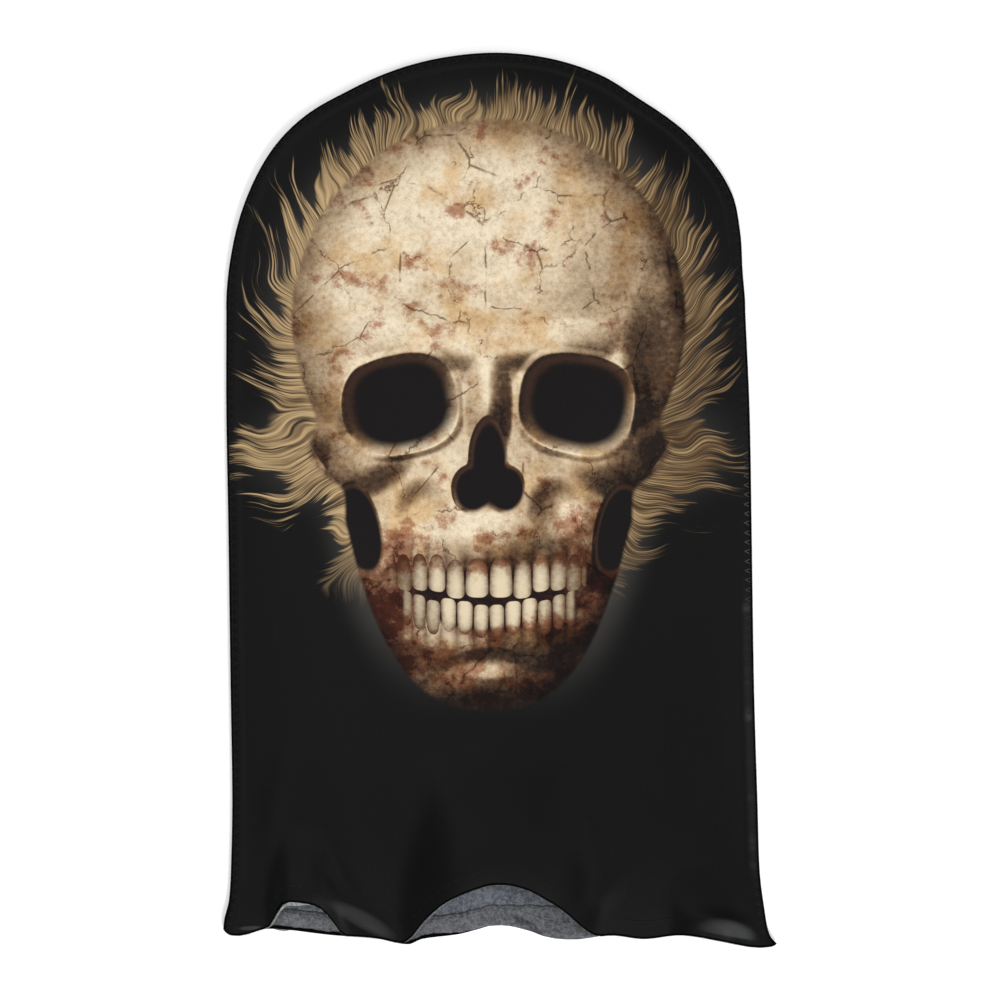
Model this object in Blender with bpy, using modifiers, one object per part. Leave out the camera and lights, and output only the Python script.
"""Full-head costume hood of thin stretch mesh, laid flat with its printed side up.

Two panels are joined by a seam that runs up one side, over the crown and down the other. The
seam allowance lies inside, between them. Each panel's lower edge is turned up inside as a hem.
The wearer's head goes in between the two hems. Metres, +Z up, crown towards +Y.
"""

import math

import bmesh
import bpy
from mathutils import Vector

# Cloth and clearances
WALL = 0.0010
HEM_WALL = 0.0010
CLEARANCE = 0.0003

# Plan of both panels, measured from the spring line, where the straight sides meet the crown
CROWN_RADIUS = 0.130
SIDE_LENGTH = 0.315
HEM_WAVE = 0.006

# Seam allowance, and how far it lies above the inside of the back panel
ALLOWANCE_THICKNESS = 0.0012
ALLOWANCE_WIDTH = 0.0050
ALLOWANCE_SETBACK = 0.0004
SEAM_SLACK = 0.0014
SEAM_HEIGHT = WALL + SEAM_SLACK + ALLOWANCE_THICKNESS / 2

# The panels' rounded edge: its width in plan, and its height on the front, which leaves room for
# both hems where the front hem lies down on the back hem
EDGE_ROLL = 0.0025
HEM_SLACK = 0.0010
EDGE_RISE = 2 * (WALL + CLEARANCE + HEM_WALL) + HEM_SLACK - SEAM_HEIGHT - CLEARANCE / 2

# How far the front panel stands above its own edge, and how soon it gets there
LOFT = 0.0080
LOFT_REACH = 0.070
HEM_REACH = 0.085

# The hem, and the waves in which the front hem stands open
HEM_TURN = 0.0105
HEM_SETBACK = 0.0003
WAVE_RETREAT = 0.0206
WAVE_LIFT = 0.0165
WAVE_RUN = 0.090

# The front cloth's solid is in lengths and halves, so that collision follows it: the neck's length
NECK_LENGTH = 0.1150

# Mesh density
CROWN_SEGMENTS = 22
FRONT_STEP = 0.0075
BACK_STEP = 0.0160
FACE_BANDS = 8
NECK_BANDS = 8
NECK_GROWTH = 1.25

# level: share of SIDE_LENGTH above the hem. left, right: shares of CROWN_RADIUS from the spine
SIDE_ROWS = (
    {"level": 0.000, "left": 1.016, "right": 1.124},
    {"level": 0.020, "left": 1.011, "right": 1.095},
    {"level": 0.057, "left": 0.993, "right": 1.077},
    {"level": 0.120, "left": 0.985, "right": 1.058},
    {"level": 0.220, "left": 0.981, "right": 1.050},
    {"level": 0.410, "left": 0.988, "right": 1.036},
    {"level": 0.650, "left": 0.996, "right": 1.027},
    {"level": 0.840, "left": 1.004, "right": 1.019},
    {"level": 1.000, "left": 1.004, "right": 1.002},
)

# angle: degrees round the crown from its left end. radius: share of CROWN_RADIUS
CROWN_ROWS = (
    {"angle": 0, "radius": 1.004},
    {"angle": 12, "radius": 1.009},
    {"angle": 25, "radius": 1.024},
    {"angle": 38, "radius": 1.037},
    {"angle": 47, "radius": 1.030},
    {"angle": 59, "radius": 1.004},
    {"angle": 80, "radius": 0.995},
    {"angle": 95, "radius": 1.002},
    {"angle": 116, "radius": 1.015},
    {"angle": 126, "radius": 1.013},
    {"angle": 140, "radius": 1.040},
    {"angle": 154, "radius": 1.054},
    {"angle": 163, "radius": 1.028},
    {"angle": 171, "radius": 1.004},
    {"angle": 180, "radius": 1.002},
)

# across: share of the hem's width from the left seam. sway: share of HEM_WAVE towards the crown
SWAY_ROWS = (
    {"across": 0.000, "sway": 0.33},
    {"across": 0.035, "sway": 0.25},
    {"across": 0.080, "sway": 0.80},
    {"across": 0.200, "sway": 0.25},
    {"across": 0.280, "sway": 0.00},
    {"across": 0.333, "sway": -0.50},
    {"across": 0.360, "sway": -0.05},
    {"across": 0.424, "sway": 0.33},
    {"across": 0.495, "sway": 1.05},
    {"across": 0.550, "sway": 0.58},
    {"across": 0.600, "sway": -0.05},
    {"across": 0.660, "sway": -0.17},
    {"across": 0.700, "sway": 0.25},
    {"across": 0.760, "sway": -0.05},
    {"across": 0.830, "sway": 0.28},
    {"across": 0.900, "sway": -0.22},
    {"across": 0.960, "sway": -0.77},
    {"across": 1.000, "sway": -0.63},
)

# across, to_left, to_right: shares of the hem's width. retreat, lift, run: shares of WAVE_*
FRONT_WAVES = (
    {"across": 0.138, "to_left": 0.060, "to_right": 0.084, "retreat": 0.69, "lift": 0.50, "run": 0.50},
    {"across": 0.505, "to_left": 0.192, "to_right": 0.181, "retreat": 1.00, "lift": 1.00, "run": 1.00},
    {"across": 0.890, "to_left": 0.090, "to_right": 0.055, "retreat": 0.00, "lift": 0.22, "run": 0.40},
)

# inset: share of EDGE_ROLL in from the outline. rise: share of the way from the seam to the face
EDGE_ROWS = (
    {"inset": 0.00, "rise": 0.00},
    {"inset": 0.00, "rise": 0.26},
    {"inset": 0.29, "rise": 0.72},
    {"inset": 1.00, "rise": 1.00},
)


def smooth_value(rows, key, column, at):
    """A column of a table at any place: a cubic through its rows, with slopes from their neighbours."""
    keys = [row[key] for row in rows]
    values = [row[column] for row in rows]
    at = min(max(at, keys[0]), keys[-1])
    last = len(rows) - 1
    i = max(k for k in range(last) if keys[k] <= at)

    def slope(k):
        before, after = max(k - 1, 0), min(k + 1, last)
        return (values[after] - values[before]) / (keys[after] - keys[before])

    span = keys[i + 1] - keys[i]
    t = (at - keys[i]) / span
    return (
        values[i] * (1 + 2 * t) * (1 - t) ** 2
        + slope(i) * span * t * (1 - t) ** 2
        + values[i + 1] * t * t * (3 - 2 * t)
        - slope(i + 1) * span * t * t * (1 - t)
    )


def ease(t):
    """From 0 to 1 as t does, steep at first and level at the end."""
    t = min(max(t, 0.0), 1.0)
    return 1 - (1 - t) ** 2


def fade(t):
    """From 1 to 0 as t goes from 0 to 1, level at both ends."""
    t = min(max(t, 0.0), 1.0)
    return 0.5 * (1 + math.cos(math.pi * t))


def side_x(level, side):
    """The outline's distance from the spine at a level; side is left or right."""
    sign = -1 if side == "left" else 1
    return sign * CROWN_RADIUS * smooth_value(SIDE_ROWS, "level", side, level)


def across_hem(x):
    left, right = side_x(0, "left"), side_x(0, "right")
    return (x - left) / (right - left)


def wave_shape(wave, across):
    """1 at the wave's crest and 0 past its reach on each side."""
    away = across - wave["across"]
    reach = wave["to_left"] if away < 0 else wave["to_right"]
    return fade((away / reach) ** 2)


def hem_y(x, panel):
    """How far the hem's edge lies above the nominal hem line, at the level of the surface."""
    across = across_hem(x)
    y = HEM_WAVE * smooth_value(SWAY_ROWS, "across", "sway", across)
    if panel == "front":
        y += sum(WAVE_RETREAT * w["retreat"] * wave_shape(w, across) for w in FRONT_WAVES)
    return y


def side_place(level, x, panel):
    """(x, y) on a panel below the spring line; level is 0 at the hem and 1 at the spring line."""
    return x, SIDE_LENGTH * (level - 1) + (1 - level) * hem_y(x, panel)


def loft_height(inset, above_hem):
    return LOFT * ease(inset / LOFT_REACH) * ease(above_hem / HEM_REACH)


def wave_height(x, above_hem):
    across = across_hem(x)
    return sum(
        WAVE_LIFT * w["lift"] * wave_shape(w, across) * fade(above_hem / (WAVE_RUN * w["run"]))
        for w in FRONT_WAVES
    )


def height(panel, rise, inset, x, above_hem):
    """The outer face's height; rise is the share of the edge roll that has been climbed."""
    if panel == "back":
        return (SEAM_HEIGHT - CLEARANCE / 2) * (1 - rise)
    edge = SEAM_HEIGHT + CLEARANCE / 2 + EDGE_RISE * rise
    return edge + loft_height(inset, above_hem) + wave_height(x, above_hem)


def neck_levels():
    """Levels up the neck, close together at the hem, where the waves are."""
    gaps = [NECK_GROWTH ** i for i in range(NECK_BANDS)]
    rest = NECK_LENGTH - CLEARANCE / 2 - HEM_TURN
    above = [HEM_TURN + rest * sum(gaps[: i + 1]) / sum(gaps) for i in range(NECK_BANDS)]
    return [y / SIDE_LENGTH for y in [0.0, HEM_TURN / 2, HEM_TURN] + above]


def face_levels():
    """Even levels from the neck to the spring line."""
    low, high = NECK_LENGTH + CLEARANCE / 2, SIDE_LENGTH - CLEARANCE / 2
    return [(low + (high - low) * i / FACE_BANDS) / SIDE_LENGTH for i in range(FACE_BANDS + 1)]


def crown_stations(start_level):
    """(place, position) over the crown, from a level of the left side to that of the right."""
    crown = [("crown", 180 * i / CROWN_SEGMENTS) for i in range(1, CROWN_SEGMENTS)]
    return [("left", start_level)] + crown + [("right", start_level)]


def half_crown_stations(side):
    """The crown's stations from a seam to the spine, a clearance above the spring line."""
    stations = crown_stations(1 + CLEARANCE / 2 / SIDE_LENGTH)
    if side == "right":
        stations.reverse()
    return stations[: CROWN_SEGMENTS // 2 + 1]


def edge_stations():
    """(place, position) round the whole seam: up the left side, over the crown, down the right."""
    levels = neck_levels() + face_levels()[1:-1]
    left = [("left", level) for level in levels]
    right = [("right", level) for level in reversed(levels)]
    return left + crown_stations(1.0) + right


def ring_rows(step):
    """(inset in metres or a share of the way to the spine, rise) from the seam to the spine."""
    rolled = [(EDGE_ROLL * row["inset"], row["rise"]) for row in EDGE_ROWS]
    count = round((CROWN_RADIUS - EDGE_ROLL) / step)
    first = EDGE_ROLL / CROWN_RADIUS
    return rolled, [first + (1 - first) * (i + 1) / count for i in range(count)]


def panel_point(panel, station, inset=None, share=None, rise=1.0):
    """A point of a panel's outer face, by its distance or its share of the way to the spine."""
    place, position = station
    if place == "crown":
        angle = math.radians(position)
        reach = CROWN_RADIUS * smooth_value(CROWN_ROWS, "angle", "radius", position)
        share = inset / reach if share is None else share
        x = -math.cos(angle) * reach * (1 - share)
        y = math.sin(angle) * reach * (1 - share)
        y = max(y, CLEARANCE / 2)
        above_hem = SIDE_LENGTH
    else:
        edge = side_x(position, place)
        reach = abs(edge)
        share = inset / reach if share is None else share
        x, y = side_place(position, edge * (1 - share), panel)
        above_hem = SIDE_LENGTH * position
    return Vector((x, y, height(panel, rise, share * reach, x, above_hem)))


def origin_shift():
    """Moves the part so that the middle of the outline's box is the origin."""
    edge = [panel_point("back", station, inset=0.0) for station in edge_stations()]
    steps = 200
    left, right = side_x(0, "left"), side_x(0, "right")
    for i in range(steps + 1):
        x = left + (right - left) * i / steps
        edge.append(Vector((*side_place(0, x, "back"), 0)))
    xs, ys = [p.x for p in edge], [p.y for p in edge]
    return Vector((-(min(xs) + max(xs)) / 2, -(min(ys) + max(ys)) / 2, 0))


def material(name, colour, roughness):
    made = bpy.data.materials.new(name)
    made.use_nodes = True
    shader = made.node_tree.nodes["Principled BSDF"]
    shader.inputs["Base Color"].default_value = (*colour, 1)
    shader.inputs["Roughness"].default_value = roughness
    shader.inputs["Metallic"].default_value = 0.0
    return made


def cloth_from_rows(name, rows, wall, finish, collection, offset=-1.0, flip=False):
    """An open surface through rows of points, made solid by its wall."""
    mesh = bpy.data.meshes.new(name)
    grid = bmesh.new()
    bmesh.ops.create_grid(grid, x_segments=len(rows[0]) - 1, y_segments=len(rows) - 1, size=0.5)
    grid.verts.ensure_lookup_table()
    for index, vertex in enumerate(grid.verts):
        row, column = divmod(index, len(rows[0]))
        vertex.co = rows[row][column] + SHIFT
    bmesh.ops.remove_doubles(grid, verts=grid.verts, dist=1e-6)
    bmesh.ops.recalc_face_normals(grid, faces=grid.faces)
    grid.faces.ensure_lookup_table()
    upwards = sum(face.normal.z * face.calc_area() for face in grid.faces) > 0
    if upwards == flip:
        bmesh.ops.reverse_faces(grid, faces=grid.faces)
    grid.to_mesh(mesh)
    grid.free()
    mesh.shade_smooth()
    mesh.set_sharp_from_angle(angle=math.radians(35))
    mesh.materials.append(finish)
    made = bpy.data.objects.new(name, mesh)
    collection.objects.link(made)
    solid = made.modifiers.new("cloth", "SOLIDIFY")
    solid.thickness = wall
    solid.offset = offset
    solid.use_even_offset = True
    return made


def arches(panel, stations, step):
    """Rows of points: nested arches from the seam in to the spine."""
    rolled, shares = ring_rows(step)
    rows = [[panel_point(panel, s, inset=inset, rise=rise) for s in stations] for inset, rise in rolled]
    return rows + [[panel_point(panel, s, share=share) for s in stations] for share in shares]


def half_rungs(panel, levels, side, step):
    """Rows of points: one across half the panel at each level, from left to right."""
    rolled, shares = ring_rows(step)
    rows = []
    for level in levels:
        edge = [panel_point(panel, (side, level), inset=i, rise=r) for i, r in rolled]
        row = edge + [panel_point(panel, (side, level), share=s) for s in shares]
        rows.append(row if side == "left" else row[::-1])
    return rows


def rungs(panel, levels, step):
    """Rows of points: one straight across the panel at each level, from seam to seam."""
    left, right = (half_rungs(panel, levels, side, step) for side in ("left", "right"))
    return [one + other[1:] for one, other in zip(left, right)]


def clear_of_spine(rows, side):
    """The same rows, kept half a clearance off the spine."""
    edge = CLEARANCE / 2
    keep = (lambda x: min(x, -edge)) if side == "left" else (lambda x: max(x, edge))
    return [[Vector((keep(p.x), p.y, p.z)) for p in row] for row in rows]


def make_panel(name, rows, finish, collection, inside_up=False):
    return cloth_from_rows(name, rows, WALL, finish, collection, flip=inside_up)


def allowance_start():
    """How far in from the outline the allowance's outer edge lies."""
    return WALL + CLEARANCE + ALLOWANCE_SETBACK


def make_seam(name, finish, collection):
    """The overlocked allowance of the two panels, lying inside along the whole seam."""
    start = allowance_start()
    rows = []
    for inset in (start, start + ALLOWANCE_WIDTH / 2, start + ALLOWANCE_WIDTH):
        row = [panel_point("back", s, inset=inset) for s in edge_stations()]
        rows.append([Vector((p.x, p.y, SEAM_HEIGHT)) for p in row])
    return cloth_from_rows(name, rows, ALLOWANCE_THICKNESS, finish, collection, offset=0.0)


def hem_columns(panel_shares):
    """(side, share) across the hem, from the left allowance to the right, on the panel's own rings."""
    clear = allowance_start() + ALLOWANCE_WIDTH + CLEARANCE
    columns = {}
    for side in ("left", "right"):
        widest = max(abs(side_x(HEM_TURN / SIDE_LENGTH * k, side)) for k in (0, 0.5, 1))
        first = clear / widest
        columns[side] = [first] + [share for share in panel_shares if share > first + 0.02]
    left = [("left", share) for share in columns["left"]]
    right = [("right", share) for share in reversed(columns["right"][:-1])]
    return left + right


def make_hem(name, panel, step, finish, collection):
    """The turned-up band inside a panel's lower edge, between the two seam allowances."""
    inward = WALL + CLEARANCE
    nudge = 0.0004
    columns = hem_columns(ring_rows(step)[1])
    rows = []
    for above in (HEM_SETBACK, HEM_TURN / 2, HEM_TURN):
        row = []
        for side, share in columns:
            def outer(more_above=0.0, more_share=0.0):
                level = (above + more_above) / SIDE_LENGTH
                return panel_point(panel, (side, level), share=share + more_share)
            turn = 1 if side == "left" else -1
            inner = -nudge / CROWN_RADIUS if share > 0.99 else nudge / CROWN_RADIUS
            turn = -turn if share > 0.99 else turn
            along = (outer(more_share=inner) - outer()) * turn
            up = outer(more_above=nudge) - outer()
            normal = along.cross(up).normalized()
            row.append(outer() + normal * (inward if panel == "back" else -inward))
        rows.append(row)
    return cloth_from_rows(name, rows, HEM_WALL, finish, collection, flip=panel == "back")


for old in list(bpy.data.objects):
    bpy.data.objects.remove(old)

SHIFT = origin_shift()

hood = bpy.data.collections.new("mesh_hood")
bpy.context.scene.collection.children.link(hood)

printed_black = material("printed_black", (0.013, 0.013, 0.013), 0.62)
plain_black = material("plain_black", (0.011, 0.011, 0.011), 0.65)
inner_grey = material("inner_grey", (0.110, 0.120, 0.135), 0.85)
seam_thread = material("seam_thread", (0.020, 0.020, 0.021), 0.70)

for side in ("left", "right"):
    crown = clear_of_spine(arches("front", half_crown_stations(side), FRONT_STEP), side)
    neck = clear_of_spine(half_rungs("front", neck_levels(), side, FRONT_STEP), side)
    make_panel(f"front_crown_{side}", crown, printed_black, hood)
    make_panel(f"front_neck_{side}", neck, printed_black, hood)
make_panel("front_face", rungs("front", face_levels(), FRONT_STEP), printed_black, hood)
make_panel("back_panel", arches("back", edge_stations(), BACK_STEP), plain_black, hood, inside_up=True)
make_seam("edge_seam", seam_thread, hood)
make_hem("front_hem", "front", FRONT_STEP, inner_grey, hood)
make_hem("back_hem", "back", BACK_STEP, inner_grey, hood)
